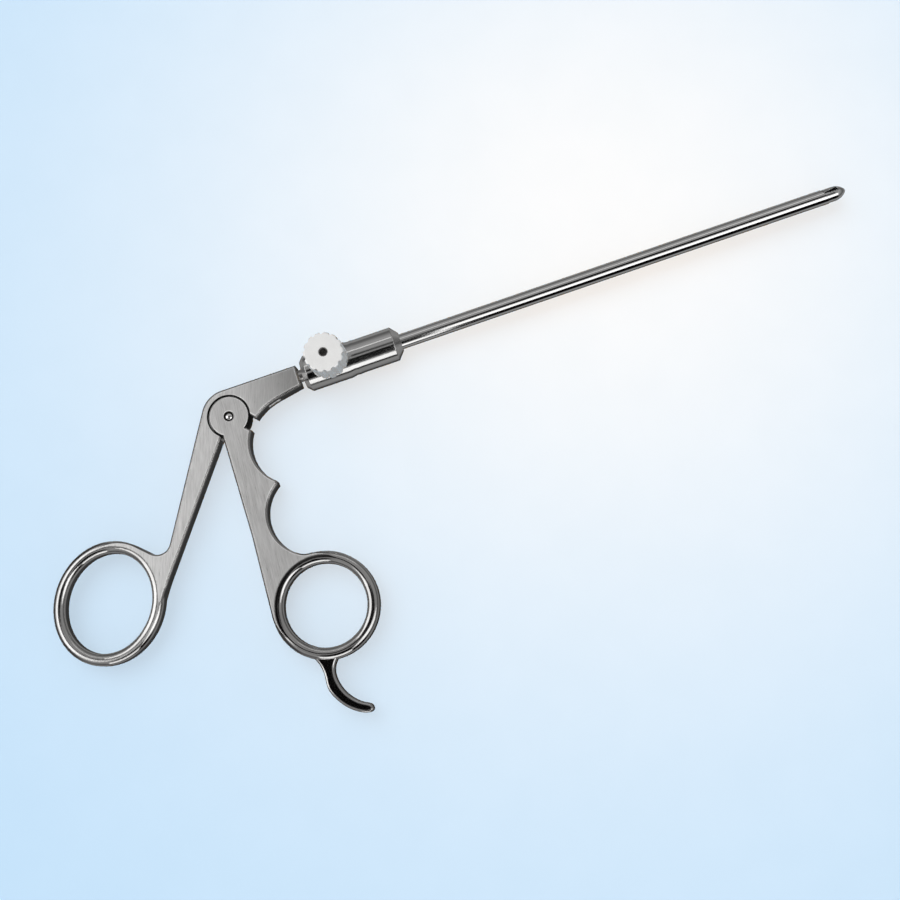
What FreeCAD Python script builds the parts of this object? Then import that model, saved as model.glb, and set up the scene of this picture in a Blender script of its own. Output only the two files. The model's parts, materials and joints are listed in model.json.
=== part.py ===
import FreeCAD, Part
import Sketcher
import math
import os

# Laryngeal grasping forceps with closed jaws, lying on its side.
# +X runs along the shaft to the tip, +Z leaves the flat handles on the knob's side.
# The origin is on the shaft's axis, at the front face of the barrel. Sizes in millimetres.

V = FreeCAD.Vector
doc = FreeCAD.newDocument("LaryngealForceps")
sheet = doc.addObject("Spreadsheet::Sheet", "Sizes")


# Every size is written once here. The sheet takes its cells from these names.
class Size:
    # The shaft and its bites
    working_length = 150.2
    tube_radius = 2.5
    tube_wall = 0.5
    tube_shoulder = 0.2
    tube_end_x = 142.5
    tube_end_slope = 0.3
    jaw_split_y = 0.45
    jaw_gap_front_x = 147.4
    jaw_gap_front = 1.05
    jaw_nose_length = 3.8
    jaw_nose_blunt = 0.45
    jaw_radius = 2.33
    jaw_rib_half = 0.45
    jaw_hinge_y = 1.15
    jaw_hinge_radius = 0.35
    jaw_hinge_back = 0.6
    jaw_opening = 22.0
    drive_pin_back = 2.0
    drive_pin_radius = 0.3
    jaw_tail_half_width = 0.6
    tooth_pitch = 0.8
    tooth_depth = 0.22
    # The barrel
    barrel_length = 33.2
    barrel_rear_radius = 5.95
    barrel_front_radius = 5.6
    barrel_wall = 1.5
    barrel_step_x = 15.4
    barrel_cone_length = 2.2
    barrel_nose_radius = 3.0
    barrel_rear_chamfer = 1.5
    neck_gap = 1.5
    stem_radius = 2.0
    stem_bore = 1.1
    stem_length = 22.0
    stem_groove = 0.4
    running_clearance = 0.06
    # The clamp knob
    knob_x = 23.4
    knob_radius = 6.35
    knob_height = 10.2
    knob_base_z = 8.3
    knob_scallops = 14
    knob_scallop_radius = 0.75
    knob_bore = 1.5
    clamp_screw_radius = 1.25
    screw_socket_radius = 1.2
    screw_socket_depth = 6.0
    # The handles
    plate_thickness = 6.4
    plate_edge = 0.5
    pivot_x = 59.9
    pivot_y = 5.7
    hub_radius = 8.9
    hub_wall = 1.0
    hub_core_radius = 3.4
    disc_radius = 6.35
    disc_gap = 0.5
    disc_thickness = 1.45
    cheek_radius = 6.6
    pin_radius = 1.5
    pin_sight_gap = 0.12
    bush_wall = 0.7
    neck_bottom = 3.6
    rear_arm_angle = 239.6
    rear_arm_length = 43.8
    ring_section = 3.9
    ring_depth = 6.4
    thumb_ring_x = 113.9
    thumb_ring_y = 50.4
    thumb_ring_long = 17.95
    thumb_ring_short = 15.75
    thumb_ring_angle = 56.0
    finger_ring_x = 48.4
    finger_ring_y = 73.0
    finger_ring_radius = 15.1
    front_arm_left = 63.6
    groove_one_x = 42.8
    groove_one_y = 19.8
    groove_two_x = 44.1
    groove_two_y = 43.3
    groove_radius = 13.75
    hook_depth = 4.8
    hook_rim = 0.7
    # The drive between the handles and the upper jaw
    rod_radius = 0.6
    ball_radius = 1.4
    rivet_radius = 0.45
    rivet_side = 4.3
    rivet_rise = 0.6
    rivet_head_gap = 0.4
    tongue_half_width = 1.0
    tongue_lean = 8.5
    tongue_head = 2.0
    tongue_foot = 5.4


for row, (alias, value) in enumerate([pair for pair in vars(Size).items() if pair[0][0] != "_"], start=1):
    sheet.set("A%d" % row, str(value))
    sheet.setAlias("A%d" % row, alias)
doc.recompute()


PIVOT = V(-Size.pivot_x, -Size.pivot_y, 0)
HALF = Size.plate_thickness / 2
# The ball sits on the shaft's axis, ahead of the pivot by half its travel
BALL_X = -Size.pivot_x + Size.pivot_y * math.tan(math.radians(Size.tongue_lean))
END = Size.tube_end_x
HINGE_X = END - Size.jaw_hinge_back
PIN_X = HINGE_X - Size.drive_pin_back
JAW_PIN_HALF = 1.3
# where the socket that holds the tube starts, and where it meets the barrel's cap
SOCKET_REAR = -11.5
CAP_REAR = -6.0
# half the width of the slot that the tongue and the ball run in
SLOT_HALF = HALF - Size.disc_thickness


def polar(centre, radius, degrees):
    angle = math.radians(degrees)
    return V(centre.x + radius * math.cos(angle), centre.y + radius * math.sin(angle), 0)


# A leg from one point to another that meets the line beyond the end smoothly;
# away is the direction in which that line would run on back over the arc
def arc_into(start, end, away):
    chord = start - end
    side = V(-away.y, away.x, 0)
    side.normalize()
    reach = chord.Length ** 2 / (2 * chord.dot(side))
    centre = end + side * reach
    middle = (start + end) * 0.5 - centre
    middle.normalize()
    via = centre + middle * abs(reach)
    return ((via.x, via.y), (end.x, end.y))


# The point of an oval, seen from its centre at a compass angle; turn is its long axis
def on_oval(centre, long_half, short_half, turn, degrees):
    angle = math.radians(degrees - turn)
    radius = long_half * short_half / math.hypot(short_half * math.cos(angle), long_half * math.sin(angle))
    return tuple(polar(centre, radius, degrees))[:2]


def plane_of(body, role):
    return [f for f in body.Origin.OriginFeatures if f.Role == role][0]


def new_body(name):
    body = doc.addObject("PartDesign::Body", name)
    body.Label = name
    return body


def new_sketch(body, name, role="XY_Plane"):
    sketch = body.newObject("Sketcher::SketchObject", name)
    sketch.AttachmentSupport = [(plane_of(body, role), "")]
    sketch.MapMode = "FlatFace"
    return sketch


# Draws a closed outline: a leg is a point for a line, or a pair (via, end) for an arc
def trace(sketch, start, legs):
    here = V(start[0], start[1], 0)
    first = here
    for leg in legs:
        if isinstance(leg[0], (tuple, FreeCAD.Vector)):
            via = V(leg[0][0], leg[0][1], 0)
            end = V(leg[1][0], leg[1][1], 0)
            sketch.addGeometry(Part.Arc(here, via, end), False)
        else:
            end = V(leg[0], leg[1], 0)
            sketch.addGeometry(Part.LineSegment(here, end), False)
        here = end
    if (here - first).Length > 1e-6:
        sketch.addGeometry(Part.LineSegment(here, first), False)
    return sketch


def circle(sketch, x, y, alias):
    radius = getattr(Size, alias)
    index = sketch.addGeometry(Part.Circle(V(x, y, 0), V(0, 0, 1), radius), False)
    sketch.addConstraint(Sketcher.Constraint("Radius", index, radius))
    number = sketch.ConstraintCount - 1
    sketch.setExpression("Constraints[%d]" % number, "Sizes." + alias)


def pad(body, sketch, name, expression):
    feature = body.newObject("PartDesign::Pad", name)
    feature.Profile = sketch
    feature.Midplane = True
    feature.setExpression("Length", expression)
    doc.recompute()
    return feature


# Rounds every edge of the body's two flat faces, or bevels them, apart from those inside a ring
def round_rims(body, name, expression, level, kind="Fillet", centre=None, reach=0.0):
    tip = body.Tip
    edges = []
    for number, edge in enumerate(tip.Shape.Edges, start=1):
        box = edge.BoundBox
        on_rim = abs(abs(box.ZMin) - level) < 1e-4 and abs(box.ZMax - box.ZMin) < 1e-4
        middle = edge.valueAt((edge.FirstParameter + edge.LastParameter) / 2)
        hidden = centre and math.hypot(middle.x - centre.x, middle.y - centre.y) < reach
        if on_rim and not hidden:
            edges.append("Edge" + str(number))
    feature = body.newObject("PartDesign::" + kind, name)
    feature.Base = (tip, edges)
    feature.setExpression("Radius" if kind == "Fillet" else "Size", expression)
    doc.recompute()
    return feature


# A turned piece: the outline lies in XY and turns about the shaft's axis
def turned(name, start, legs):
    body = new_body(name)
    sketch = new_sketch(body, name + "_section")
    trace(sketch, start, legs)
    feature = body.newObject("PartDesign::Revolution", name + "_turn")
    feature.Profile = sketch
    feature.ReferenceAxis = (sketch, ["H_Axis"])
    feature.Angle = 360
    doc.recompute()
    return body


# A turned sleeve between two stations along the shaft
def sleeve(name, rear, front, inner, outer):
    return turned(name, (rear, inner), [(front, inner), (front, outer), (rear, outer)])


# Gives a property a number, or binds it to the sheet by a text such as "Sizes.pin_radius"
def bind(item, name, value):
    if isinstance(value, str):
        item.setExpression(name, value)
    else:
        setattr(item, name, value)


def rod_along_x(name, rear, front, radius, y=0.0):
    rod = doc.addObject("Part::Cylinder", name)
    bind(rod, "Radius", radius)
    rod.Height = front - rear
    rod.Placement = FreeCAD.Placement(V(rear, y, 0), FreeCAD.Rotation(V(0, 1, 0), 90))
    return rod


def post(name, centre, low, high, radius):
    rod = doc.addObject("Part::Cylinder", name)
    bind(rod, "Radius", radius)
    rod.Height = high - low
    rod.Placement.Base = V(centre.x, centre.y, low)
    return rod


def block(name, x_low, x_high, y_low, y_high, z_low, z_high):
    box = doc.addObject("Part::Box", name)
    box.Length = x_high - x_low
    box.Width = y_high - y_low
    box.Height = z_high - z_low
    box.Placement.Base = V(x_low, y_low, z_low)
    return box


def joined(name, pieces):
    fuse = doc.addObject("Part::MultiFuse", name)
    fuse.Shapes = pieces
    fuse.Refine = True
    fuse.Label = name
    return fuse


def cut(name, base, tools):
    tool = tools[0]
    if len(tools) > 1:
        tool = doc.addObject("Part::MultiFuse", name + "_tools")
        tool.Shapes = tools
    piece = doc.addObject("Part::Cut", name)
    piece.Base = base
    piece.Tool = tool
    piece.Label = name
    return piece


# A finger ring: two ovals padded to its depth, with all four rims rounded to a soft section
def ring(name, centre, long_half, short_half, angle):
    body = new_body(name)
    sketch = new_sketch(body, name + "_ovals")
    wide = Size.ring_section / 2
    for grow in (wide, -wide):
        if abs(long_half - short_half) < 1e-6:
            oval = Part.Circle(V(0, 0, 0), V(0, 0, 1), long_half + grow)
        else:
            oval = Part.Ellipse(V(0, 0, 0), long_half + grow, short_half + grow)
        sketch.addGeometry(oval, False)
    pad(body, sketch, name + "_pad", "Sizes.ring_depth")
    round_rims(body, name + "_rims", "Sizes.ring_section * 0.47", Size.ring_depth / 2)
    body.Placement = FreeCAD.Placement(centre, FreeCAD.Rotation(V(0, 0, 1), angle))
    doc.recompute()
    return body


# Fixed handle: neck, hub, arm and thumb ring in one forging
def make_rear_handle():
    body = new_body("rear_plate")
    sketch = new_sketch(body, "rear_outline")
    top = Size.hub_radius - Size.pivot_y
    front = -Size.barrel_length - Size.neck_gap
    down = Size.rear_arm_angle
    along = polar(V(0, 0, 0), 1, down)
    left_top = polar(PIVOT, Size.hub_radius, down - 90)
    left_low = left_top + along * Size.rear_arm_length
    right = polar(V(0, 0, 0), 1, 232.75)
    right_low = PIVOT + right * 54.2
    right_top = PIVOT + right * 4
    neck_low = V(front - 8.6, -Size.neck_bottom - 1.6, 0)
    thumb = V(-Size.thumb_ring_x, -Size.thumb_ring_y, 0)
    wide = Size.ring_section / 2

    def rim(grow, degrees):
        return on_oval(thumb, Size.thumb_ring_long + grow, Size.thumb_ring_short + grow,
                       Size.thumb_ring_angle, degrees)

    trace(sketch, (front, top), [
        (PIVOT.x, top),
        (tuple(polar(PIVOT, Size.hub_radius, (down) / 2)), tuple(left_top)),
        (left_low.x, left_low.y),
        ((left_low.x - 3.12, left_low.y - 2.04), (left_low.x - 6.64, left_low.y - 0.79)),
        rim(wide, 47),
        (rim(0.7 * wide, 72), rim(0, 95)),
        (rim(0, 60), rim(0, 25)),
        (rim(0, 8), rim(0, -10)),
        rim(0.7 * wide, -21),
        arc_into(V(*rim(0.7 * wide, -21), 0), right_low, right),
        (right_top.x, right_top.y),
        (PIVOT.x + 4.6, PIVOT.y - 2.9),
        (PIVOT.x + 6.6, PIVOT.y - 1.7),
        (PIVOT.x + 8.2, PIVOT.y - 3.4),
        arc_into(V(PIVOT.x + 8.2, PIVOT.y - 3.4, 0), neck_low, V(-1, -0.186, 0)),
        (front, -Size.neck_bottom),
    ])
    pad(body, sketch, "rear_pad", "Sizes.plate_thickness")
    round_rims(body, "rear_rims", "Sizes.plate_edge", HALF, "Chamfer", thumb, Size.thumb_ring_long + 0.75 * wide)
    loop = ring("thumb_ring", thumb, Size.thumb_ring_long, Size.thumb_ring_short,
                Size.thumb_ring_angle)
    cheek = post("rear_cheek", PIVOT, -HALF, -SLOT_HALF, "Sizes.cheek_radius")
    whole = joined("rear_forging", [body, loop, cheek])
    recess = post("disc_recess", PIVOT, SLOT_HALF, HALF + 1, "Sizes.disc_radius + Sizes.disc_gap")
    sweep = post("tongue_room", PIVOT, -SLOT_HALF, SLOT_HALF + 0.01, "Sizes.hub_radius - Sizes.hub_wall")
    slot = block("neck_slot", PIVOT.x, front - 8.5, -2.3, top - 1.1, -SLOT_HALF, SLOT_HALF)
    window = block("neck_window", front - 12.3, front - 8.1, -9, -2, -0.65, 0.65)
    bore = rod_along_x("neck_bore", front - 9, front + 1, "Sizes.stem_radius")
    hole = post("pin_hole", PIVOT, -HALF - 1, 0, "Sizes.pin_radius")
    return cut("rear_handle", whole, [recess, sweep, slot, window, bore, hole])


# Moving handle: hub disc, arm with two finger grooves, finger ring and rest hook
def make_front_handle():
    body = new_body("front_plate")
    sketch = new_sketch(body, "front_outline")
    left = -Size.front_arm_left
    one = V(-Size.groove_one_x, -Size.groove_one_y, 0)
    two = V(-Size.groove_two_x, -Size.groove_two_y, 0)
    finger = V(-Size.finger_ring_x, -Size.finger_ring_y, 0)
    deep = Size.groove_radius
    crest = Size.finger_ring_radius
    wide = Size.ring_section / 2
    outer = crest + wide
    # the groove runs into the ring by a hollow curve of this radius
    valley = 6.0
    line = two - finger
    ahead = (line.Length ** 2 + (outer + valley) ** 2 - (deep - valley) ** 2) / (2 * line.Length)
    aside = math.sqrt((outer + valley) ** 2 - ahead ** 2)
    line.normalize()
    hollow = finger + line * ahead + V(-line.y, line.x, 0) * aside
    on_groove = two + (hollow - two).normalize() * deep
    on_ring = finger + (hollow - finger).normalize() * outer
    dip = hollow + ((on_groove + on_ring) * 0.5 - hollow).normalize() * valley
    trace(sketch, (left, PIVOT.y - 2), [
        (left - 0.4, -45),
        tuple(polar(finger, outer, 172))[:2],
        (tuple(polar(finger, crest + 0.65 * wide, 195)), tuple(polar(finger, crest, 218))),
        (tuple(polar(finger, crest, 160)), tuple(polar(finger, crest, 105))),
        (tuple(polar(finger, crest, 80)), tuple(polar(finger, crest, 50))),
        (tuple(polar(finger, crest + 0.65 * wide, 70)), tuple(on_ring)),
        (tuple(dip), tuple(on_groove)),
        (tuple(polar(two, deep, 180)), tuple(polar(two, deep, 122.6))),
        tuple(polar(one, deep, 230.7)),
        (tuple(polar(one, deep, 190)), tuple(polar(one, deep, 147))),
        (PIVOT.x + 3.3, PIVOT.y - 4.4),
        (PIVOT.x + 2, PIVOT.y - 2),
    ])
    pad(body, sketch, "front_pad", "Sizes.plate_thickness")
    round_rims(body, "front_rims", "Sizes.plate_edge", HALF, "Chamfer", finger, outer - 0.1)
    loop = ring("finger_ring", finger, Size.finger_ring_radius, Size.finger_ring_radius, 0)
    hook = make_hook(finger)
    disc = post("hub_disc", PIVOT, SLOT_HALF + 0.05, HALF, "Sizes.disc_radius")
    hub = post("hub_core", PIVOT, -SLOT_HALF + 0.1, HALF, "Sizes.hub_core_radius")
    whole = joined("front_forging", [body, loop, hook, disc, hub])
    room = post("cheek_room", PIVOT, -HALF - 1, -SLOT_HALF + 0.1, "Sizes.cheek_radius + Sizes.disc_gap")
    bore = post("bush_bore", PIVOT, -HALF, HALF - 1.2, "Sizes.pin_radius + Sizes.bush_wall")
    sight = post("pin_sight", PIVOT, HALF - 1.3, HALF + 1, "Sizes.pin_radius + Sizes.pin_sight_gap")
    holes = rivet_posts("disc_hole", -HALF, HALF - Size.rivet_head_gap)
    return cut("front_handle", whole, [room, bore, sight] + holes)


# The rest hook under the finger ring: one smooth line down, round the tip and back up
def make_hook(finger):
    body = new_body("rest_hook")
    sketch = new_sketch(body, "hook_outline")
    down = [(-9.4, 13.4), (-7.4, 16.8), (-6.8, 20.5), (-7.0, 24.5), (-5.2, 29.2), (-1.9, 33.1), (1.0, 35.0), (3.1, 35.7)]
    back = [(4.5, 35.3), (4.7, 34.0), (2.5, 32.2), (0.6, 30.8), (-1.9, 27.7), (-3.4, 23.6), (-3.3, 19.8), (-1.9, 17.4),
            (0.6, 16.0)]
    points = [V(finger.x + across, finger.y - drop, 0) for across, drop in down + back]
    curve = Part.BSplineCurve()
    curve.interpolate(points)
    sketch.addGeometry(curve, False)
    sketch.addGeometry(Part.LineSegment(points[-1], points[0]), False)
    pad(body, sketch, "hook_pad", "Sizes.hook_depth")
    round_rims(body, "hook_rims", "Sizes.hook_rim", Size.hook_depth / 2)
    return body


# The hollow stem that is screwed into the neck and carries the barrel
def make_stem():
    front = -Size.barrel_length - Size.neck_gap
    radius = Size.stem_radius
    bore = Size.stem_bore
    end = front + Size.stem_length
    groove = -Size.knob_x
    waist = radius - Size.stem_groove
    return turned("neck_stem", (front - 7.5, bore), [
        (end, bore), (end, radius), (groove + 1.4, radius), (groove + 1.4, waist),
        (groove - 1.4, waist), (groove - 1.4, radius), (front - 7.5, radius)])


def make_pivot():
    pin = post("pivot_pin_shank", PIVOT, -HALF - 0.6, HALF - 0.75, "Sizes.pin_radius")
    dome = doc.addObject("Part::Sphere", "pivot_pin_dome")
    dome.Radius = 1.75
    dome.Placement.Base = PIVOT + V(0, 0, HALF - 0.75 - 0.9)
    limit = post("pivot_pin_limit", PIVOT, HALF - 0.76, HALF + 1, "Sizes.pin_radius")
    cap = doc.addObject("Part::Common", "pivot_pin_cap")
    cap.Base = dome
    cap.Tool = limit
    pin_whole = joined("pivot_pin", [pin, cap])
    nut_body = post("nut_blank", PIVOT, -HALF - 1.0, -HALF, 3.0)
    nut_hole = post("nut_hole", PIVOT, -HALF - 2, -HALF + 1, "Sizes.pin_radius")
    notch_a = block("nut_notch_a", PIVOT.x - 3.5, PIVOT.x - 1.9, PIVOT.y - 0.4, PIVOT.y + 0.4,
                    -HALF - 2, -HALF - 0.5)
    notch_b = block("nut_notch_b", PIVOT.x + 1.9, PIVOT.x + 3.5, PIVOT.y - 0.4, PIVOT.y + 0.4,
                    -HALF - 2, -HALF - 0.5)
    nut = cut("pivot_nut", nut_body, [nut_hole, notch_a, notch_b])
    outer = post("bush_outer", PIVOT, -SLOT_HALF + 0.1, HALF - 1.2, "Sizes.pin_radius + Sizes.bush_wall")
    inner = post("bush_inner", PIVOT, -HALF, HALF, "Sizes.pin_radius + Sizes.running_clearance")
    bush = cut("pivot_bush", outer, [inner])
    return [pin_whole, nut, bush]


# The tongue stands on the moving hub and holds the rod's ball in a fork
def make_tongue():
    body = new_body("tongue_plate")
    sketch = new_sketch(body, "tongue_outline")
    lean = 90 - Size.tongue_lean
    ball = V(BALL_X, 0, 0)
    wide = Size.tongue_head
    foot = Size.tongue_foot
    trace(sketch, tuple(polar(PIVOT, foot, lean - 90))[:2], [
        tuple(polar(ball, wide, lean - 90))[:2],
        (tuple(polar(ball, wide, lean)), tuple(polar(ball, wide, lean + 90))),
        tuple(polar(PIVOT, foot, lean + 90))[:2],
        (tuple(polar(PIVOT, foot, lean - 180)), tuple(polar(PIVOT, foot, lean - 90))),
    ])
    pad(body, sketch, "tongue_pad", "2 * Sizes.tongue_half_width")
    seat = post("ball_seat", ball, -3, 3, "Sizes.ball_radius + 2 * Sizes.running_clearance")
    core = post("tongue_core", PIVOT, -3, 3, "Sizes.hub_core_radius")
    web = block("tongue_web_room", -70, -50, PIVOT.y - 9, PIVOT.y - 1.9, -3, 3)
    return cut("drive_tongue", body, [seat, make_rod_exit(ball), core, web] + rivet_posts("tongue_hole", -3, 3))


# The rod leaves the fork straight ahead at rest, and lower as the tongue swings back
def make_rod_exit(ball):
    body = new_body("rod_exit")
    sketch = new_sketch(body, "rod_exit_outline")
    room = Size.rod_radius + 2 * Size.running_clearance
    swing = math.radians(2 * Size.tongue_lean)
    reach = 4.0
    low = -room / math.cos(swing)
    trace(sketch, (ball.x, room), [
        (ball.x, low), (ball.x + reach, low - reach * math.tan(swing)), (ball.x + reach, room)])
    pad(body, sketch, "rod_exit_pad", "4 * Sizes.tongue_half_width")
    return body


# Two posts through the hub's disc, left and right of the pivot: the rivets or their holes
def rivet_posts(name, low, high):
    sides = ((name + "_left", -Size.rivet_side), (name + "_right", Size.rivet_side))
    return [post(label, PIVOT + V(across, Size.rivet_rise, 0), low, high, "Sizes.rivet_radius")
            for label, across in sides]


def make_rivets():
    group = doc.addObject("Part::Compound", "tongue_rivets")
    group.Links = rivet_posts("rivet", -Size.tongue_half_width, HALF - Size.rivet_head_gap)
    group.Label = "tongue_rivets"
    return group


# The long push rod, its ball and its flat end at the jaw
def make_rod():
    rod_front = HINGE_X - 9.0
    rod = rod_along_x("drive_rod", BALL_X + 0.6, rod_front, "Sizes.rod_radius")
    rod.Label = "drive_rod"
    sphere = doc.addObject("Part::Sphere", "ball_blank")
    bind(sphere, "Radius", "Sizes.ball_radius")
    sphere.Placement.Base = V(BALL_X, 0, 0)
    socket = rod_along_x("ball_socket", BALL_X + 0.6, BALL_X + 4, "Sizes.rod_radius")
    ball = cut("rod_ball", sphere, [socket])
    return [rod, ball]


def make_rod_end():
    back = HINGE_X - 11.0
    clear = Size.jaw_tail_half_width + 0.08
    sleeve_part = rod_along_x("rod_end_sleeve", back, HINGE_X - 7.2, 1.35)
    fork = block("rod_end_fork", HINGE_X - 7.3, PIN_X + 0.6, -0.6, 0.6, -1.15, 1.15)
    whole = joined("rod_end_blank", [sleeve_part, fork])
    bore = rod_along_x("rod_end_bore", back - 1, HINGE_X - 9.0, "Sizes.rod_radius")
    gap = block("rod_end_gap", HINGE_X - 7.0, HINGE_X, -3, 3, -clear, clear)
    pin_hole = post("rod_end_hole", V(PIN_X, 0, 0), -3, 3, "Sizes.drive_pin_radius")
    end = cut("rod_fork", whole, [bore, gap, pin_hole])
    pin = post("drive_pin", V(PIN_X, 0, 0), -1.15, 1.15, "Sizes.drive_pin_radius")
    pin.Label = "drive_pin"
    return [end, pin]


# Two plastic sleeves keep the thin rod straight in the tube
def make_rod_guides():
    inner = Size.rod_radius
    outer = Size.tube_radius - Size.tube_wall - Size.running_clearance
    rear = sleeve("guide_rear", 42, 48, inner, outer)
    front = sleeve("guide_front", 92, 98, inner, outer)
    group = doc.addObject("Part::Compound", "rod_guides")
    group.Links = [rear, front]
    group.Label = "rod_guides"
    return group


# The barrel: turned shell with a step, a rear chamfer and an open front for the cap
def make_barrel():
    rear = -Size.barrel_length
    big = Size.barrel_rear_radius
    small = Size.barrel_front_radius
    step = -Size.barrel_step_x
    cham = Size.barrel_rear_chamfer
    inside = small - Size.barrel_wall
    cone = -Size.barrel_cone_length
    shell = turned("barrel_shell", (rear, inside), [
        (cone, inside), (cone, small), (step + 1.2, small), (step, small + 0.12),
        (step - 1.2, small), (step - 2.8, big), (rear + cham, big), (rear, big - cham)])
    open_radius = "Sizes.clamp_screw_radius + Sizes.running_clearance"
    thread = post("clamp_thread", V(-Size.knob_x, 0, 0), 0, big + 1, open_radius)
    return cut("barrel_housing", shell, [thread])


def make_barrel_inside():
    rear = -Size.barrel_length
    small = Size.barrel_front_radius
    inside = small - Size.barrel_wall
    cone = -Size.barrel_cone_length
    seat = Size.tube_radius - Size.tube_shoulder
    nose = Size.barrel_nose_radius
    clear = Size.running_clearance
    stem = Size.stem_radius
    bush = sleeve("rear_bush", rear, rear + 5.5, stem + clear, inside)
    front_bush = sleeve("front_bush", -19.6, -14.5, stem + clear, inside)
    socket = sleeve("tube_socket", SOCKET_REAR, CAP_REAR, seat, inside)
    cap = turned("front_cap", (CAP_REAR, seat), [
        (0, seat), (0, nose), (cone, small), (cone, inside), (CAP_REAR, inside)])
    return [bush, front_bush, socket, cap]


def make_seal(name, x, ring_radius, cord):
    seal = doc.addObject("Part::Torus", name)
    seal.Radius1 = ring_radius
    seal.Radius2 = cord
    seal.Placement = FreeCAD.Placement(V(x, 0, 0), FreeCAD.Rotation(V(0, 1, 0), 90))
    seal.Label = name
    return seal


# The station along the shaft where the slanted end of the tube lies, at a height y
def tube_end(y):
    return END + 0.75 - Size.tube_end_slope * y


def make_tube():
    tube = Size.tube_radius
    inner = tube - Size.tube_wall
    seat = tube - Size.tube_shoulder
    blank = turned("tube_blank", (SOCKET_REAR, inner), [
        (END + 3, inner), (END + 3, tube), (0, tube), (0, seat), (SOCKET_REAR, seat)])
    front = new_body("tube_trim")
    sketch = new_sketch(front, "tube_trim_outline")
    trace(sketch, (tube_end(4), 4), [(END + 10, 4), (END + 10, -4), (tube_end(-4), -4)])
    pad(front, sketch, "tube_trim_pad", "20 mm")
    return cut("outer_tube", blank, [front])


# The knob with its scallops, the screw in it and the pad on the stem
def make_knob():
    body = new_body("knob_blank")
    sketch = new_sketch(body, "knob_circle")
    circle(sketch, 0, 0, "knob_radius")
    feature = body.newObject("PartDesign::Pad", "knob_pad")
    feature.Profile = sketch
    feature.setExpression("Length", "Sizes.knob_height")
    doc.recompute()
    edges = []
    for number, edge in enumerate(feature.Shape.Edges, start=1):
        if edge.BoundBox.ZLength < 1e-4:
            edges.append("Edge" + str(number))
    soft = body.newObject("PartDesign::Fillet", "knob_rims")
    soft.Base = (feature, edges)
    soft.Radius = 0.6
    doc.recompute()
    notch = new_sketch(body, "scallop_circle")
    circle(notch, Size.knob_radius + 0.15, 0, "knob_scallop_radius")
    flute = body.newObject("PartDesign::Pocket", "scallop")
    flute.Profile = notch
    flute.Type = 1
    flute.Midplane = True
    doc.recompute()
    row = body.newObject("PartDesign::PolarPattern", "scallops")
    row.Originals = [flute]
    row.Axis = (plane_of(body, "Z_Axis"), [""])
    row.Angle = 360
    row.setExpression("Occurrences", "Sizes.knob_scallops")
    body.Tip = row
    doc.recompute()
    body.Placement.Base = V(-Size.knob_x, 0, Size.knob_base_z)
    centre = V(-Size.knob_x, 0, 0)
    top = Size.knob_base_z + Size.knob_height
    bore = post("knob_bore_tool", centre, Size.knob_base_z - 1, top + 1, "Sizes.knob_bore")
    return cut("clamp_knob", body, [bore])


def make_clamp():
    centre = V(-Size.knob_x, 0, 0)
    base = Size.knob_base_z
    stem = Size.stem_radius
    shank = post("screw_shank", centre, stem + 1.3, base, "Sizes.clamp_screw_radius")
    top = base + Size.knob_height - 0.35
    upper = post("screw_upper", centre, base, top, "Sizes.knob_bore")
    collar = post("screw_collar", centre, base - 1.2, base, 2.6)
    socket = post("screw_socket", centre, top - Size.screw_socket_depth, top + 1, "Sizes.screw_socket_radius")
    screw = cut("clamp_screw", joined("screw_blank", [shank, upper, collar]), [socket])
    block_pad = post("pad_blank", centre, 0.5, stem + 1.25, 1.2)
    hollow = rod_along_x("pad_hollow", centre.x - 3, centre.x + 3, "Sizes.stem_radius - Sizes.stem_groove + Sizes.running_clearance")
    clamp_pad = cut("clamp_pad", block_pad, [hollow])
    return [screw, clamp_pad]


# The round nose that both jaws are cut from
def rounded_tip(name, rear):
    tube = Size.jaw_radius
    tip = Size.working_length
    blunt = Size.jaw_nose_blunt
    side = V(tip - Size.jaw_nose_length, tube, 0)
    curve = arc_into(V(tip, blunt, 0), side, V(1, 0, 0))
    return turned(name, (rear, 0), [(tip, 0), (tip, blunt), curve, (rear, tube)])


# Lower jaw: a slotted plug in the tube, ears for the hinge pin, and a toothed floor
def make_lower_jaw():
    inner = Size.tube_radius - Size.tube_wall
    tip = Size.working_length
    hinge = V(HINGE_X, Size.jaw_hinge_y, 0)
    floor = Size.jaw_split_y - 0.03
    nose = rounded_tip("lower_round", END - 2)
    below = new_body("lower_side")
    side = new_sketch(below, "lower_side_outline")
    trace(side, (tube_end(floor), floor), [(tip + 1, floor), (tip + 1, -4), (tube_end(-4), -4)])
    pad(below, side, "lower_side_pad", "20 mm")
    head = doc.addObject("Part::Common", "lower_head")
    head.Base = nose
    head.Tool = below
    plug_rod = rod_along_x("lower_plug_rod", END - 8.5, END + 2.2, inner)
    plug_low = block("lower_plug_low", END - 9, END + 3, -3, floor, -3, 3)
    plug = doc.addObject("Part::Common", "lower_plug")
    plug.Base = plug_rod
    plug.Tool = plug_low
    ears = rod_along_x("jaw_ears", HINGE_X - 0.9, HINGE_X + 0.75, inner)
    blank = joined("lower_blank", [head, plug, ears])
    side_gap = Size.jaw_tail_half_width + 0.08
    tail_room = block("tail_slot", END - 9.5, END + 1.2, -1.35, 3, -side_gap, side_gap)
    fork_room = block("fork_slot", END - 9.5, HINGE_X - 0.95, -0.75, 3, -1.25, 1.25)
    rod_room = rod_along_x("rod_room", END - 9.5, END - 5, 1.45)
    pin_hole = post("jaw_pin_hole", hinge, -3, 3, "Sizes.jaw_hinge_radius")
    teeth = make_teeth("lower_teeth", floor)
    return cut("lower_jaw", blank, [tail_room, fork_room, rod_room, pin_hole] + teeth)


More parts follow.
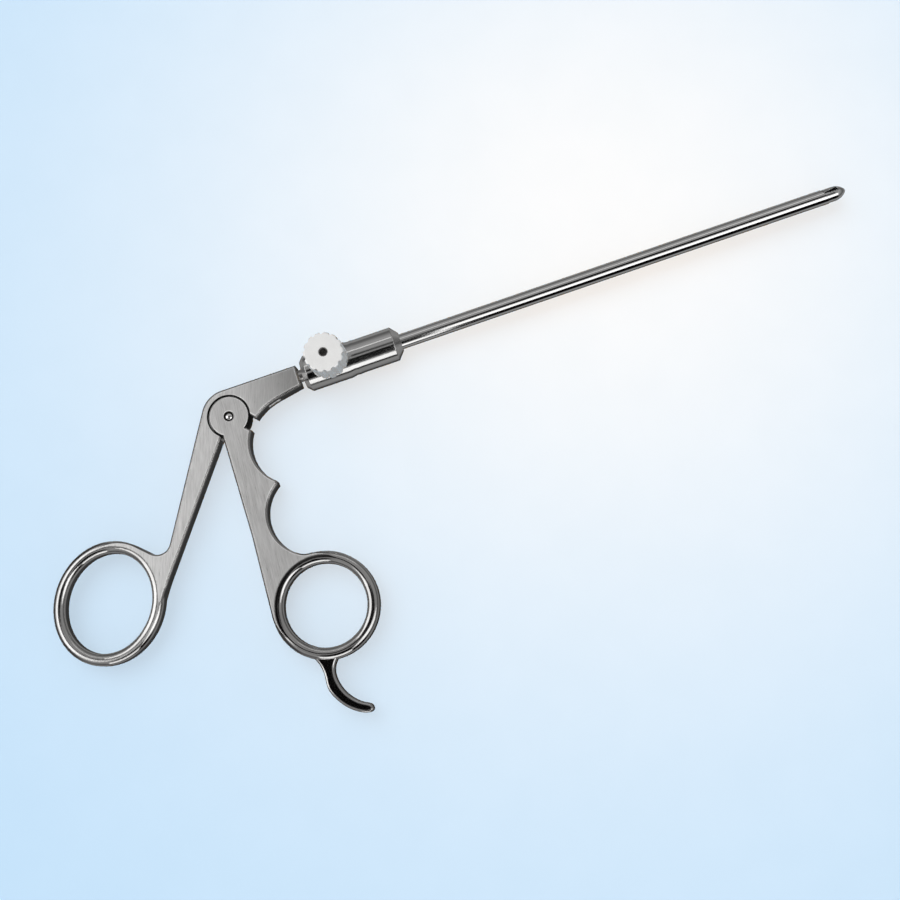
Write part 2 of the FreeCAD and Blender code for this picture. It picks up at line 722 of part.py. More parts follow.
# Upper jaw: the top of the nose, hollowed behind the tip, on a thin tail with a cam slot
def make_upper_jaw():
    tip = Size.working_length
    split = Size.jaw_split_y + 0.03
    gap_x = Size.jaw_gap_front_x
    hinge = V(HINGE_X, Size.jaw_hinge_y, 0)
    back = END + 0.72
    nose = rounded_tip("upper_round", END - 2)
    above = new_body("upper_side")
    side = new_sketch(above, "upper_side_outline")
    trace(side, (back, split), [(tip + 1, split), (tip + 1, 4), (back, 4)])
    pad(above, side, "upper_side_pad", "20 mm")
    head = doc.addObject("Part::Common", "upper_head")
    head.Base = nose
    head.Tool = above
    blank = joined("upper_blank", [head, make_jaw_tail(hinge)])
    hole = post("upper_pin_hole", hinge, -3, 3, "Sizes.jaw_hinge_radius + Sizes.running_clearance")
    cheeks = [make_bite(back, split, gap_x, 1), make_bite(back, split, gap_x, -1)]
    upper = cut("upper_jaw", blank, [hole, make_cam_slot(hinge)] + cheeks)
    pin = post("jaw_pin", hinge, -JAW_PIN_HALF, JAW_PIN_HALF, "Sizes.jaw_hinge_radius")
    pin.Label = "jaw_pin"
    return [upper, pin]


# The bite is hollow on both sides of a middle rib, and opens towards the tip
def make_bite(back, split, gap_x, side):
    name = "bite_near" if side > 0 else "bite_far"
    body = new_body(name)
    sketch = new_sketch(body, name + "_outline")
    trace(sketch, (back + 0.1, split - 1), [
        (gap_x + 0.7, split - 1), (gap_x + 0.7, split), (gap_x + 0.1, split + Size.jaw_gap_front),
        (back + 1.2, split + 0.55), (back + 0.1, split + 0.25)])
    pad(body, sketch, name + "_pad", "4 mm")
    body.Placement.Base = V(0, 0, side * (Size.jaw_rib_half + 2))
    return body


# Where the drive pin lies in the jaw's own frame when the handle has opened by a share
def cam_point(hinge, share):
    lean = math.radians(Size.tongue_lean)
    travel = Size.pivot_y * (math.tan(lean) - math.tan(lean * (1 - 2 * share)))
    turn = -math.radians(Size.jaw_opening * share)
    across = PIN_X - travel - hinge.x
    rise = -hinge.y
    return V(hinge.x + across * math.cos(turn) - rise * math.sin(turn),
             hinge.y + across * math.sin(turn) + rise * math.cos(turn), 0)


def make_cam_slot(hinge):
    wide = Size.drive_pin_radius + 0.07
    rest = cam_point(hinge, 0.0)
    half = cam_point(hinge, 0.5)
    full = cam_point(hinge, 1.0)
    first = (half - rest).normalize()
    last = (full - half).normalize()
    start_side = V(-first.y, first.x, 0) * wide
    half_side = V(-(full - rest).y, (full - rest).x, 0).normalize() * wide
    end_side = V(-last.y, last.x, 0) * wide
    body = new_body("cam_slot")
    sketch = new_sketch(body, "cam_slot_outline")
    trace(sketch, tuple(rest + start_side)[:2], [
        (tuple(half + half_side), tuple(full + end_side)),
        (tuple(full + last * wide), tuple(full - end_side)),
        (tuple(half - half_side), tuple(rest - start_side)),
        (tuple(rest - first * wide), tuple(rest + start_side)),
    ])
    pad(body, sketch, "cam_slot_pad", "4 mm")
    return body


# Cross grooves in the lower jaw's floor, behind its tip
def make_teeth(name, level):
    teeth = []
    gap_x = Size.jaw_gap_front_x
    pitch = Size.tooth_pitch
    depth = Size.tooth_depth
    count = int((gap_x - END - 1.6) / pitch)
    for number in range(count):
        x = gap_x - number * pitch
        teeth.append(block(name + str(number), x, x + pitch / 2, level - depth, level + 1, -3, 3))
    return teeth


def make_jaw_tail(hinge):
    body = new_body("jaw_tail")
    sketch = new_sketch(body, "jaw_tail_outline")
    x = hinge.x
    y = hinge.y
    trace(sketch, (x + 2.4, y - 0.6), [
        (x + 2.4, y + 0.5), (x + 1.5, y + 0.3), (x + 0.5, y + 0.5),
        ((x, y + 0.68), (x - 0.6, y + 0.55)),
        (x - 4.5, y + 0.72), (x - 4.5, y - 0.2), (x - 2.4, y - 1.75),
        ((x - 1.8, y - 1.8), (x - 1.3, y - 1.45)),
        (x - 0.3, y - 0.72),
    ])
    pad(body, sketch, "jaw_tail_pad", "2 * Sizes.jaw_tail_half_width")
    return body


def main():
    parts = []
    parts.append(make_rear_handle())
    parts.append(make_front_handle())
    parts.append(make_stem())
    parts.extend(make_pivot())
    parts.append(make_tongue())
    parts.append(make_rivets())
    parts.extend(make_rod())
    parts.extend(make_rod_end())
    parts.append(make_barrel())
    parts.extend(make_barrel_inside())
    parts.append(make_rod_guides())
    parts.append(make_seal("stem_seal", -14.0, Size.stem_radius + 0.55, 0.5))
    parts.append(make_tube())
    parts.append(make_knob())
    parts.extend(make_clamp())
    parts.append(make_lower_jaw())
    parts.extend(make_upper_jaw())
    doc.recompute()
    for item in doc.Objects:
        if "Invalid" in item.State or "Error" in item.State:
            raise RuntimeError("failed: " + item.Name + " " + str(item.State))
    os.makedirs("parts", exist_ok=True)
    for part in parts:
        if part.Shape.isNull() or not part.Shape.isValid():
            raise RuntimeError("bad shape: " + part.Label)
        part.Shape.exportStep("parts/" + part.Label + ".step")
        print(part.Label, len(part.Shape.Solids), round(part.Shape.Volume, 2))


main()
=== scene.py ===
# %% [markdown]
# Laryngeal grasping forceps: a long slim instrument that reaches down to the voice box. Its
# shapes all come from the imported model, so this script gives them their steel, puts them on a
# pale table and lights them.

# %% load the model
import json
import math

import bpy
from mathutils import Matrix, Vector


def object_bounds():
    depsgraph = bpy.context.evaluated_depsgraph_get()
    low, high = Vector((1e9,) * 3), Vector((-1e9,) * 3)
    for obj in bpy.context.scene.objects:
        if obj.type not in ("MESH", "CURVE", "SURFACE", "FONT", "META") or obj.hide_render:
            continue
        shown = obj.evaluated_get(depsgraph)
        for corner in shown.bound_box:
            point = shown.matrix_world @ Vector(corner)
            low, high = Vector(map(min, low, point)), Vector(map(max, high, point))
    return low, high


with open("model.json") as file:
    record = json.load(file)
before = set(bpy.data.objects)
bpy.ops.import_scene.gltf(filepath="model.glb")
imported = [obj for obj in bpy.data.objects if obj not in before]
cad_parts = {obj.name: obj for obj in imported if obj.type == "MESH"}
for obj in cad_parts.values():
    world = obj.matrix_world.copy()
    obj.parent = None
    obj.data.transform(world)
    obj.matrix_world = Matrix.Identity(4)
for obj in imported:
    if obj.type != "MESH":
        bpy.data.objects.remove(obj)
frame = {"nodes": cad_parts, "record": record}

scene = bpy.context.scene
cad_low, cad_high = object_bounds()
print("pieces in the model:", len(frame["nodes"]))

# %% [markdown]
# Steel in a studio shows the room more than itself. A finish here starts from one shader, and
# the helpers below hang a small network of nodes on it. The first thing that each helper takes
# is a material or the room, because both hold such a network.

# %% node helpers
def new_material(name):
    material = bpy.data.materials.new(name)
    material.use_nodes = True
    return material, material.node_tree.nodes["Principled BSDF"]


def add_node(owner, kind, **settings):
    node = owner.node_tree.nodes.new(kind)
    for key, value in settings.items():
        setattr(node, key, value)
    return node


def link(owner, source, target):
    owner.node_tree.links.new(source, target)


# Links a socket to the target, or writes a plain value into it
def feed(owner, value, target):
    if isinstance(value, bpy.types.NodeSocket):
        link(owner, value, target)
    elif target.type == "RGBA":
        target.default_value = (*value, 1)
    else:
        target.default_value = value


def mix(owner, kind, factor, first, second):
    node = add_node(owner, "ShaderNodeMix", data_type=kind)
    sockets = [socket for socket in node.inputs if socket.enabled]
    for value, socket in zip((factor, first, second), sockets):
        feed(owner, value, socket)
    return next(socket for socket in node.outputs if socket.enabled)


def blend_colours(owner, factor, first, second):
    return mix(owner, "RGBA", factor, first, second)


def blend_numbers(owner, factor, first, second):
    return mix(owner, "FLOAT", factor, first, second)


# A steady change from one value to another as the source goes from low to high
def remap(owner, source, low, high, out_low=0.0, out_high=1.0):
    node = add_node(owner, "ShaderNodeMapRange", clamp=True)
    limits = {"From Min": low, "From Max": high, "To Min": out_low, "To Max": out_high}
    for key, value in limits.items():
        node.inputs[key].default_value = value
    link(owner, source, node.inputs["Value"])
    return node.outputs["Result"]


def maths(owner, operation, *sources):
    node = add_node(owner, "ShaderNodeMath", operation=operation)
    for source, socket in zip(sources, node.inputs):
        link(owner, source, socket)
    return node.outputs["Value"]


def vector_maths(owner, operation, *sources):
    node = add_node(owner, "ShaderNodeVectorMath", operation=operation)
    for source, socket in zip(sources, node.inputs):
        feed(owner, source, socket)
    gives_number = operation in ("DOT_PRODUCT", "LENGTH")
    return node.outputs["Value" if gives_number else "Vector"]


def coordinate(owner, kind):
    return add_node(owner, "ShaderNodeTexCoord").outputs[kind]


def split(owner, source):
    node = add_node(owner, "ShaderNodeSeparateXYZ")
    link(owner, source, node.inputs["Vector"])
    return node.outputs


# %% [markdown]
# A mask says where on a piece something happens: it is one inside a region and zero outside.
# Every region is measured in metres on the piece itself, so it stays there when the piece
# moves. Masks are joined and cut like paper stencils.

# %% masks
def all_of(owner, first, *others):
    for other in others:
        first = maths(owner, "MULTIPLY", first, other)
    return first


def any_of(owner, first, *others):
    for other in others:
        first = maths(owner, "MAXIMUM", first, other)
    return first


# The value itself, but zero inside the mask
def except_in(owner, mask, value):
    return blend_numbers(owner, mask, value, 0.0)


# The surfaces that face straight out of the flat handles, and not their walls and bevels
def flat_face(owner, start=0.9, end=0.985):
    facing = split(owner, coordinate(owner, "Normal"))["Z"]
    return remap(owner, maths(owner, "ABSOLUTE", facing), start, end)


# The inside of an upright oval cylinder round a point, so tall that its height is no limit. Its
# reach can be grown by a margin, and its edge fades over a short distance
def near_point(owner, point, reach, turn=0.0, squeeze=1.0, grow=0.0, edge=0.0006):
    oval = add_node(owner, "ShaderNodeMapping", vector_type="TEXTURE")
    oval.inputs["Location"].default_value = point
    oval.inputs["Rotation"].default_value = (0, 0, math.radians(turn))
    oval.inputs["Scale"].default_value = (1, squeeze, 10000)
    link(owner, coordinate(owner, "Object"), oval.inputs["Vector"])
    apart = vector_maths(owner, "LENGTH", oval.outputs["Vector"])
    return remap(owner, apart, reach + grow, reach + grow + edge, 1.0, 0.0)


# %% [markdown]
# Every finish also needs an uneven pattern, because no real surface is the same all over. It
# is noise, stretched along the tool's path, that shades the colour, the gloss and the height.

# %% patterns and relief
# Noise stretched by three scales, in cycles per metre, after a turn about Z
def grain(owner, cycles, turn=0.0, detail=3.0):
    spin = add_node(owner, "ShaderNodeMapping", vector_type="TEXTURE")
    spin.inputs["Rotation"].default_value = (0, 0, math.radians(turn))
    stretch = add_node(owner, "ShaderNodeMapping")
    stretch.inputs["Scale"].default_value = cycles
    noise = add_node(owner, "ShaderNodeTexNoise")
    noise.inputs["Scale"].default_value = 1.0
    noise.inputs["Detail"].default_value = detail
    link(owner, coordinate(owner, "Object"), spin.inputs["Vector"])
    link(owner, spin.outputs["Vector"], stretch.inputs["Vector"])
    link(owner, stretch.outputs["Vector"], noise.inputs["Vector"])
    return noise.outputs["Fac"]


# Shades the corners as if they were rounded by a radius, as polishing leaves them
def rounded(owner, radius):
    bevel = add_node(owner, "ShaderNodeBevel", samples=6)
    feed(owner, radius, bevel.inputs["Radius"])
    return bevel.outputs["Normal"]


def add_bump(owner, shader, height, depth, normal=None):
    bump = add_node(owner, "ShaderNodeBump")
    bump.inputs["Strength"].default_value = 1.0
    bump.inputs["Distance"].default_value = depth
    link(owner, height, bump.inputs["Height"])
    if normal:
        link(owner, normal, bump.inputs["Normal"])
    link(owner, bump.outputs["Normal"], shader.inputs["Normal"])


def darker(colour, share):
    return tuple(share * part for part in colour)


# %% [markdown]
# The handles are forged and brushed on their flat sides. The rings and the rest hook were
# polished round afterwards, so they are marked off here. The front handle's hub is a disc that
# turns in a round recess of the rear handle, and the narrow gap between them holds no light, so it
# is painted near black as painted shade.

# %% regions of the handles
thumb_ring = {"point": (-0.1139, -0.0504, 0), "reach": 0.0178, "turn": 56, "squeeze": 0.88}
finger_ring = {"point": (-0.0484, -0.0730, 0), "reach": 0.0156}
rest_hook = {"point": (-0.0505, -0.0985, 0), "reach": 0.0115}
pivot = (-0.0599, -0.0057, 0)
recess_reach = 0.007
disc_reach = 0.0066
neck_start_x = -0.058
neck_end_x = -0.036


# Masks for the painted shade in the gap round the hub
# The floor and the wall of the recess; its rule takes the same two things as the disc's
def recess_gap(owner, face):
    return near_point(owner, pivot, recess_reach, edge=0.0001)


# The disc's flat top isn't in the gap, only its wall
def disc_gap(owner, face):
    wall = remap(owner, face, 0.0, 0.6, 1.0, 0.0)
    return all_of(owner, near_point(owner, pivot, disc_reach, edge=0.0001), wall)


print("polished spots reach out, in mm:",
      [round(1000 * spot["reach"], 1) for spot in (thumb_ring, finger_ring, rest_hook)])

# %% [markdown]
# The brush went in one direction on each handle. It leaves fine streaks, lighter and darker,
# that also scatter the light. The walls were polished, so they are darker and reflect more
# sharply. A painted highlight, a fine light line, runs where a flat side meets its rounded edge.
# The rounded edges on the left are painted dark as shade where they face an unlit corner, the neck
# is painted darker towards the barrel as shade, and the gap round the hub is painted near black as
# shade.

# %% brushed handles
wall_rounding = 0.0022
ring_rounding = 0.0004
plate_rounding = 0.0008
left = (-0.9, 0.43, 0)
wall_dark = (0.42, 0.415, 0.41)
wall_light = (0.56, 0.555, 0.55)
# Painted highlight: the colour of the light line along the rims of the flat sides
painted_edge_highlight = (0.97, 0.965, 0.96)
# Painted shade on the neck towards the barrel
painted_neck_shade = (0.2, 0.198, 0.195)
# Painted shade on the rounded edges that face left
painted_left_edge_shade = (0.16, 0.158, 0.155)
# Painted shade in the gap round the hub
painted_gap_shade = (0.03, 0.03, 0.03)


def brushed_steel(name, turn, dark, light, polished, neck_shade, gap_shade_mask):
    material, shader = new_material(name)
    streaks = grain(material, (140, 3200, 3200), turn)
    fine = grain(material, (500, 11000, 11000), turn, 2.0)
    cloud = grain(material, (90, 140, 140), turn, 2.0)
    both = blend_numbers(material, 0.45, streaks, fine)

    flat = flat_face(material)
    spots = any_of(material, *(near_point(material, **spot) for spot in polished))
    wide_spots = any_of(material, *(near_point(material, **spot, grow=0.0028, edge=0.0008)
                                    for spot in polished))
    face = except_in(material, spots, flat)
    radius = blend_numbers(material, any_of(material, flat, wide_spots),
                           wall_rounding, ring_rounding)
    soft = rounded(material, blend_numbers(material, face, radius, plate_rounding))

    straight = add_node(material, "ShaderNodeNewGeometry").outputs["Normal"]
    agreement = vector_maths(material, "DOT_PRODUCT", soft, straight)
    edge_highlight = all_of(material, remap(material, agreement, 0.93, 0.994, 1.0, 0.0), face)
    to_left = vector_maths(material, "DOT_PRODUCT", soft, left)
    bevels_too = except_in(material, spots, flat_face(material, 0.2, 0.5))
    shaded_left_edge = all_of(material, remap(material, to_left, 0.16, 0.3), bevels_too)
    along = split(material, coordinate(material, "Object"))["X"]
    neck = remap(material, along, neck_start_x, neck_end_x, 0.0, neck_shade)

    brushed = blend_colours(material, remap(material, both, 0.36, 0.64), dark, light)
    brushed = blend_colours(material, remap(material, cloud, 0.3, 0.7, 0.0, 0.35), brushed, light)
    # Painted shade: the neck darkens towards the barrel
    brushed = blend_colours(material, neck, brushed, painted_neck_shade)
    # Painted highlight: a light line where the rounded shading leaves the flat side
    brushed = blend_colours(material, edge_highlight, brushed, painted_edge_highlight)
    wall = blend_colours(material, remap(material, cloud, 0.3, 0.7), wall_dark, wall_light)
    steel = blend_colours(material, face, wall, brushed)
    # Painted shade: the rounded edges that face left are darkened
    steel = blend_colours(material, shaded_left_edge, steel, painted_left_edge_shade)
    # Painted shade: the gap round the hub is near black
    steel = blend_colours(material, gap_shade_mask(material, face), steel, painted_gap_shade)
    link(material, steel, shader.inputs["Base Color"])

    scatter = remap(material, both, 0.3, 0.7, 0.26, 0.42)
    link(material, blend_numbers(material, face, 0.09, scatter), shader.inputs["Roughness"])
    link(material, blend_numbers(material, face, 1.0, 0.78), shader.inputs["Metallic"])
    add_bump(material, shader, blend_numbers(material, face, 0.5, both), 0.000012, soft)
    return material


rear_steel = brushed_steel("rear_handle_steel", 71, (0.54, 0.535, 0.53), (0.79, 0.785, 0.78),
                           [thumb_ring], 0.68, recess_gap)
front_steel = brushed_steel("front_handle_steel", 86, (0.47, 0.465, 0.46), (0.7, 0.695, 0.69),
                            [finger_ring, rest_hook], 0.0, disc_gap)
print("brushed:", rear_steel.name, front_steel.name)

# %% [markdown]
# The barrel, the shaft and the jaws are polished like mirrors. Real polish still has faint
# lengthwise hairlines and a few hazy patches, which break up the long reflections a little.

# %% polished steel
def polished_steel(name, colour, rough, hairline=(60, 5200, 5200), painted_shade_spot=None, normal=None):
    material, shader = new_material(name)
    lines = grain(material, hairline, 0.0, 2.0)
    haze = grain(material, (130, 170, 170))
    lined = remap(material, lines, 0.35, 0.65)
    steel = blend_colours(material, lined, darker(colour, 0.86), colour)
    if painted_shade_spot:
        # Painted shade: near black where the mask puts the surface in shade
        steel = blend_colours(material, painted_shade_spot(material), steel, (0.02, 0.02, 0.02))
    link(material, steel, shader.inputs["Base Color"])
    both = blend_numbers(material, 0.5, lines, haze)
    link(material, remap(material, both, 0.35, 0.65, *rough), shader.inputs["Roughness"])
    shader.inputs["Metallic"].default_value = 1.0
    add_bump(material, shader, lines, 0.0000025, normal(material) if normal else None)
    return material


shaft_mirror = polished_steel("shaft_mirror", (0.72, 0.715, 0.71), (0.06, 0.1))
print("polished:", shaft_mirror.name)

# %% [markdown]
# The faces that bite, and the hollows on both sides of the jaws' middle rib, lie in shade between
# the bright jaws, so they are painted near black as painted shade; their gloss stays that of the
# polished jaws.

# %% jaws
def slightly_rounded(owner):
    return rounded(owner, 0.00025)


# Where the jaws' bite lies in shade, to be painted near black
def bite(owner):
    spot = split(owner, coordinate(owner, "Object"))
    facing = split(owner, coordinate(owner, "Normal"))
    above_low = remap(owner, spot["Y"], 0.00032, 0.0004)
    below_high = remap(owner, spot["Y"], 0.0016, 0.00165, 1.0, 0.0)
    past_tube = remap(owner, spot["X"], 0.1418, 0.1419)
    sideways = remap(owner, maths(owner, "ABSOLUTE", facing["Z"]), 0.93, 0.96)
    near_middle = remap(owner, maths(owner, "ABSOLUTE", spot["Z"]), 0.0006, 0.0007, 1.0, 0.0)
    up_or_down = remap(owner, maths(owner, "ABSOLUTE", facing["Y"]), 0.9, 0.95)
    either = any_of(owner, all_of(owner, sideways, near_middle), up_or_down)
    return all_of(owner, above_low, below_high, past_tube, either)


jaw_mirror = polished_steel("jaw_mirror", (0.7, 0.7, 0.7), (0.08, 0.16), (900, 5200, 5200),
                            bite, slightly_rounded)
# The bite's near black is painted shade; its gloss is the jaws' own
print("polished outside, dull in the bite:", jaw_mirror.name)

# %% [markdown]
# The barrel has a step where a lathe turned it down, so softly blended that its reflections
# run straight on. There the shading follows the round of the barrel alone.

# %% barrel
def over_the_step(owner):
    place = coordinate(owner, "Object")
    across = vector_maths(owner, "MULTIPLY", place, (0, 1, 1))
    outward = add_node(owner, "ShaderNodeVectorTransform", vector_type="NORMAL",
                       convert_from="OBJECT", convert_to="WORLD")
    link(owner, across, outward.inputs["Vector"])
    straight = vector_maths(owner, "NORMALIZE", outward.outputs["Vector"])
    outside = remap(owner, vector_maths(owner, "LENGTH", across), 0.0053, 0.0054)
    along = split(owner, place)["X"]
    start = remap(owner, along, -0.0205, -0.0195)
    end = remap(owner, along, -0.0135, -0.0125, 1.0, 0.0)
    zone = all_of(owner, start, end, outside)
    return mix(owner, "VECTOR", zone, slightly_rounded(owner), straight)


barrel_mirror = polished_steel("barrel_mirror", (0.66, 0.655, 0.65), (0.08, 0.14),
                               normal=over_the_step)
print("polished:", barrel_mirror.name)

# %% [markdown]
# Small drive pieces are left as turned: fine rings run round them, a little rougher and darker.

# %% turned steel
def turned_metal(name, colour):
    material, shader = new_material(name)
    rings = grain(material, (9000, 300, 300), 0.0, 2.0)
    stain = grain(material, (220, 220, 220))
    both = blend_numbers(material, 0.4, rings, stain)
    metal = blend_colours(material, remap(material, both, 0.35, 0.65), darker(colour, 0.62), colour)
    link(material, metal, shader.inputs["Base Color"])
    link(material, remap(material, rings, 0.3, 0.7, 0.2, 0.36), shader.inputs["Roughness"])
    shader.inputs["Metallic"].default_value = 1.0
    add_bump(material, shader, rings, 0.000006)
    return material


drive_steel = turned_metal("drive_steel", (0.5, 0.49, 0.48))
bronze = turned_metal("bearing_bronze", (0.55, 0.47, 0.36))
print("turned:", drive_steel.name, bronze.name)

# %% [markdown]
# The clamp knob is pale: its metal was blasted with fine beads and anodised without colour.
# The pits are tiny, so it looks almost like matt white china with a soft grey shade.

# %% knob
pit_tone = (0.7, 0.7, 0.69)
bead_tone = (0.79, 0.79, 0.785)
shade_tone = (0.65, 0.65, 0.645)


def blasted_metal(name):
    material, shader = new_material(name)
    pits = grain(material, (5200, 5200, 5200), 0.0, 4.0)
    shade = grain(material, (260, 260, 260), 0.0, 2.0)
    metal = blend_colours(material, remap(material, pits, 0.35, 0.65), pit_tone, bead_tone)
    shaded = remap(material, shade, 0.35, 0.7, 0.0, 0.35)
    link(material, blend_colours(material, shaded, metal, shade_tone), shader.inputs["Base Color"])
    link(material, remap(material, pits, 0.3, 0.7, 0.3, 0.48), shader.inputs["Roughness"])
    shader.inputs["Metallic"].default_value = 0.35
    add_bump(material, shader, pits, 0.000012)
    return material


knob_metal = blasted_metal("knob_metal")
print("blasted:", knob_metal.name)

# %% [markdown]
# Two sleeves of slippery white plastic keep the rod straight inside the shaft, and a black
# rubber ring closes the barrel. They are hidden, but each still has its own surface.

# %% plastic and rubber
def moulded(name, colour, rough, pit_cycles, pit_depth):
    material, shader = new_material(name)
    pits = grain(material, (pit_cycles,) * 3)
    skin = blend_colours(material, remap(material, pits, 0.3, 0.7), darker(colour, 0.85), colour)
    link(material, skin, shader.inputs["Base Color"])
    link(material, remap(material, pits, 0.3, 0.7, rough, rough + 0.12), shader.inputs["Roughness"])
    add_bump(material, shader, pits, pit_depth)
    return material


guide_plastic = moulded("guide_plastic", (0.86, 0.86, 0.83), 0.32, 2500, 0.000008)
seal_rubber = moulded("seal_rubber", (0.035, 0.035, 0.037), 0.5, 4000, 0.00002)
print("moulded:", guide_plastic.name, seal_rubber.name)

# %% [markdown]
# Each piece takes the finish that its slot names, and a few take a finish of their own.

# %% give out the finishes
finish_of_slot = {
    "handle_steel": rear_steel,
    "polished_steel": shaft_mirror,
    "drive_steel": drive_steel,
    "knob_metal": knob_metal,
    "bronze": bronze,
    "guide_plastic": guide_plastic,
    "seal_rubber": seal_rubber,
}
own_finish = {
    "front_handle": front_steel,
    "barrel_housing": barrel_mirror,
    "front_cap": barrel_mirror,
    "lower_jaw": jaw_mirror,
    "upper_jaw": jaw_mirror,
}
slot_of = {part["node"]: part["material_slot"] for part in frame["record"]["subparts"]}
for node, piece in frame["nodes"].items():
    finish = own_finish.get(node, finish_of_slot[slot_of[node]])
    for slot in piece.material_slots:
        slot.link = "OBJECT"
        slot.material = finish
print("finishes given to", len(slot_of), "pieces")

# %% [markdown]
# The instrument lies on a plain pale blue table. It is left out of the mirror reflections,
# because in the photograph the steel's edges stay grey against the pale ground.

# %% table
def make_table():
    half_side = 3.0
    level = cad_low.z - 0.0002
    mesh = bpy.data.meshes.new("table")
    corners = [(-half_side, -half_side, level), (half_side, -half_side, level),
               (half_side, half_side, level), (-half_side, half_side, level)]
    mesh.from_pydata(corners, [], [(0, 1, 2, 3)])
    table = bpy.data.objects.new("table", mesh)
    scene.collection.objects.link(table)
    material, shader = new_material("table_paper")
    tone = remap(material, grain(material, (60, 60, 60), 0.0, 2.0), 0.3, 0.7)
    paper = blend_colours(material, tone, (0.495, 0.735, 0.96), (0.505, 0.745, 0.97))
    link(material, paper, shader.inputs["Base Color"])
    shader.inputs["Roughness"].default_value = 0.9
    shader.inputs["Specular IOR Level"].default_value = 0.0
    table.data.materials.append(material)
    table.visible_glossy = False
    return table


table = make_table()
print("table's height under the handles, in mm:", round(1000 * table.data.vertices[0].co.z, 2))

# %% [markdown]
# The room round the object is grey and darkest at eye level, and a few black screens stand in
# it. The mirror steel shows them as black bands, and the rings as dark arcs. Dull surfaces
# get one even grey instead, so the black screens don't shade them, and the ground that the
# camera sees past the table has the table's own blue.

# %% room
# How bright the room is at each height, from straight down (0) to straight up (1)
brightness_at = [(0.0, 0.04), (0.05, 0.07), (0.15, 0.3), (0.36, 0.35), (0.44, 0.18), (0.5, 0.14),
                 (0.6, 0.18), (0.68, 0.3), (0.82, 0.46), (0.9, 0.34), (1.0, 0.4)]
# Each screen's direction, and the cosines of the angles where its edge starts and ends
screens = [
    ((-0.08, -0.537, 0.84), 0.934, 0.956),
    ((0.15, -0.05, 0.987), 0.9763, 0.9848),
    ((-0.15, 0.05, 0.987), 0.988, 0.996),
    ((-0.27, 0.14, 0.953), 0.9863, 0.9925),
    ((0.2, -0.95, 0.22), 0.88, 0.93),
]
screen_black = (0.002, 0.002, 0.002)
even_grey = (0.32, 0.32, 0.32)
far_blue = (0.5, 0.74, 0.965)


def screen_mask(world, direction, start, end):
    towards = vector_maths(world, "DOT_PRODUCT", coordinate(world, "Generated"),
                           Vector(direction).normalized())
    return remap(world, towards, start, end)


def plain_background(world, colour):
    node = add_node(world, "ShaderNodeBackground")
    feed(world, colour, node.inputs["Color"])
    return node.outputs["Background"]


# Shows one background to the rays of one kind, and the other to the rest
def choose(world, ray, to_the_rest, to_these):
    node = add_node(world, "ShaderNodeMixShader")
    link(world, add_node(world, "ShaderNodeLightPath").outputs[ray], node.inputs["Fac"])
    link(world, to_the_rest, node.inputs[1])
    link(world, to_these, node.inputs[2])
    return node.outputs["Shader"]


def make_room():
    world = bpy.data.worlds.new("studio")
    world.use_nodes = True
    scene.world = world
    ramp = add_node(world, "ShaderNodeValToRGB")
    ends = ramp.color_ramp.elements
    ends[0].position, ends[1].position = brightness_at[0][0], brightness_at[-1][0]
    for element, (_, level) in zip(ends, (brightness_at[0], brightness_at[-1])):
        element.color = (level, level, level, 1)
    for position, level in brightness_at[1:-1]:
        ramp.color_ramp.elements.new(position).color = (level, level, level, 1)
    height = split(world, coordinate(world, "Generated"))["Z"]
    link(world, remap(world, height, -1.0, 1.0), ramp.inputs["Fac"])

    dark = any_of(world, *(screen_mask(world, *screen) for screen in screens))
    walls = world.node_tree.nodes["Background"]
    link(world, blend_colours(world, dark, ramp.outputs["Color"], screen_black),
         walls.inputs["Color"])
    room = choose(world, "Is Diffuse Ray", walls.outputs["Background"],
                  plain_background(world, even_grey))
    room = choose(world, "Is Camera Ray", room, plain_background(world, far_blue))
    link(world, room, world.node_tree.nodes["World Output"].inputs["Surface"])


make_room()
print("black screens in the room:", len(screens))

# %% [markdown]
# A broad white lamp throws the soft shadows, and an even one from above fills them. A warm
# pool of light falls on the table alone and turns its blue nearly white in the middle. The
# soft boxes light everything but the table, and the steel reflects them as bright bands.

# %% lamps
white = (1, 1, 1)


def add_lamp(name, kind, strength, colour, position, target):
    data = bpy.data.lights.new(name, kind)
    data.energy = strength
    data.color = colour
    lamp = bpy.data.objects.new(name, data)
    scene.collection.objects.link(lamp)
    lamp.visible_camera = False
    lamp.location = position
    towards = Vector(target) - Vector(position)
    lamp.rotation_euler = towards.to_track_quat("-Z", "Y").to_euler()
    return lamp


# A soft box whose own brightness is given, in the units of the picture
def soft_box(name, brightness, width, height, position, target):
    strength = math.pi * width * height * brightness
    lamp = add_lamp(name, "AREA", strength, white, position, target)
    lamp.data.shape = "RECTANGLE"
    lamp.data.size = width
    lamp.data.size_y = height
    return lamp


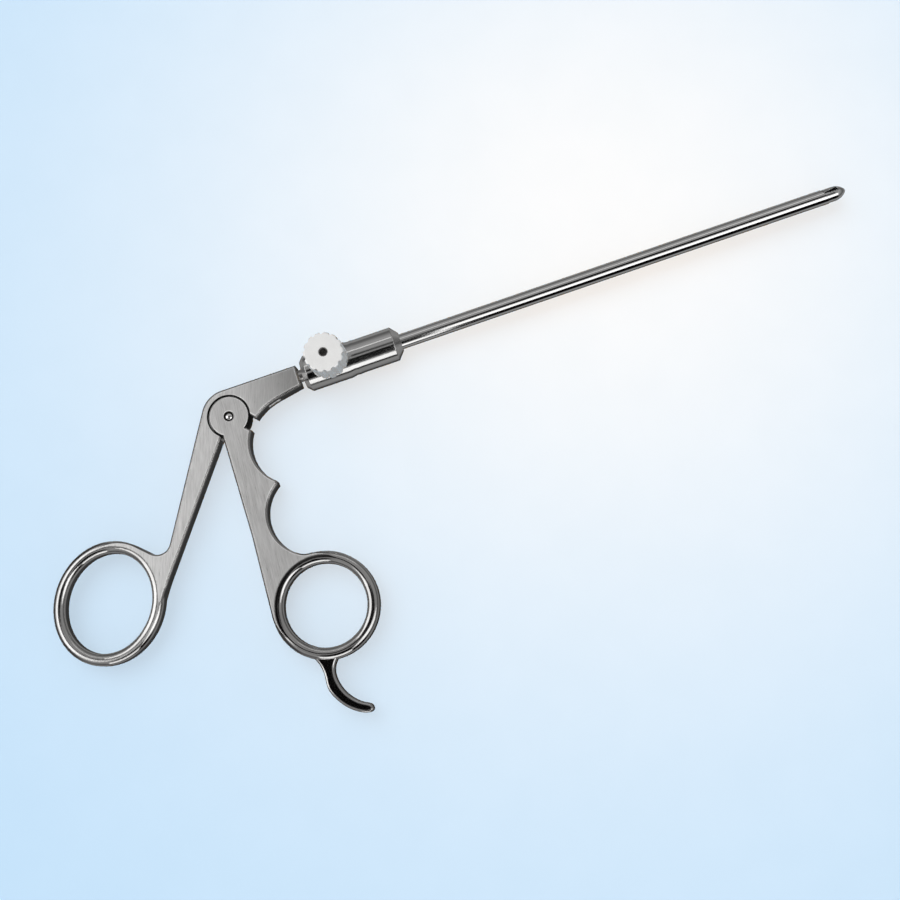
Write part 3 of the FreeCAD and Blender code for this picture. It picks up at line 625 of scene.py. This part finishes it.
sky = add_lamp("table_sky", "SUN", 0.5, white, (-0.3, 0.6, 1.2), (0, 0, 0))
sky.data.angle = math.radians(55)
fill = add_lamp("even_fill", "SUN", 1.7, white, (0, 0, 1.2), (0, 0, 0))
fill.data.use_shadow = False
pool = add_lamp("table_pool", "AREA", 0.48, (1.0, 0.34, 0.02), (0.075, 0.018, 0.214),
                (0.075, 0.018, 0))
pool.data.shape = "DISK"
pool.data.size = 0.1
pool.data.use_shadow = False
for lamp in (sky, fill, pool):
    lamp.visible_glossy = False
boxes = [
    soft_box("near_box", 1.5, 0.6, 0.34, (0.31, -0.386, 0.459), (0.31, 0, 0)),
    soft_box("low_box", 1.5, 0.42, 0.3, (-0.19, -0.6, 0.185), (-0.19, 0, 0)),
    soft_box("far_strip", 0.75, 0.7, 0.07, (0, 0.36, 0.5), (0, 0, 0)),
    soft_box("left_box", 1.5, 0.5, 0.55, (-0.5, 0.1, 0.4), (-0.08, -0.03, 0)),
]

only_table = bpy.data.collections.new("table_only")
only_table.objects.link(table)
pool.light_linking.receiver_collection = only_table
not_table = bpy.data.collections.new("all_but_the_table")
not_table.objects.link(table)
not_table.collection_objects[0].light_linking.link_state = "EXCLUDE"
for box in boxes:
    box.light_linking.receiver_collection = not_table
print("lamps:", sky.name, fill.name, pool.name, *(box.name for box in boxes))

# %% [markdown]
# The camera stands above the finger rings and looks down on the instrument, turned so that
# the shaft rises to the right. Its place and lens were found from the photograph's own lines.

# %% camera
def make_camera():
    eye = Vector((0.0126, -0.119, 0.434))
    aim_at = Vector((0.00386, -0.03877, 0))
    roll = math.radians(-18.58)
    ahead = (aim_at - eye).normalized()
    level = ahead.cross(Vector((0, 1, 0))).normalized()
    above = level.cross(ahead)
    right = math.cos(roll) * level + math.sin(roll) * above
    up = math.cos(roll) * above - math.sin(roll) * level
    data = bpy.data.cameras.new("camera")
    data.sensor_width = 36
    data.lens = 55.64
    data.clip_start = 0.01
    camera = bpy.data.objects.new("camera", data)
    scene.collection.objects.link(camera)
    turned = Matrix((right, up, -ahead)).transposed().to_4x4()
    camera.matrix_world = Matrix.Translation(eye) @ turned
    scene.camera = camera


make_camera()
scene.view_settings.view_transform = "Standard"
scene.view_settings.look = "None"
print("camera's lens, in mm:", round(scene.camera.data.lens, 2))
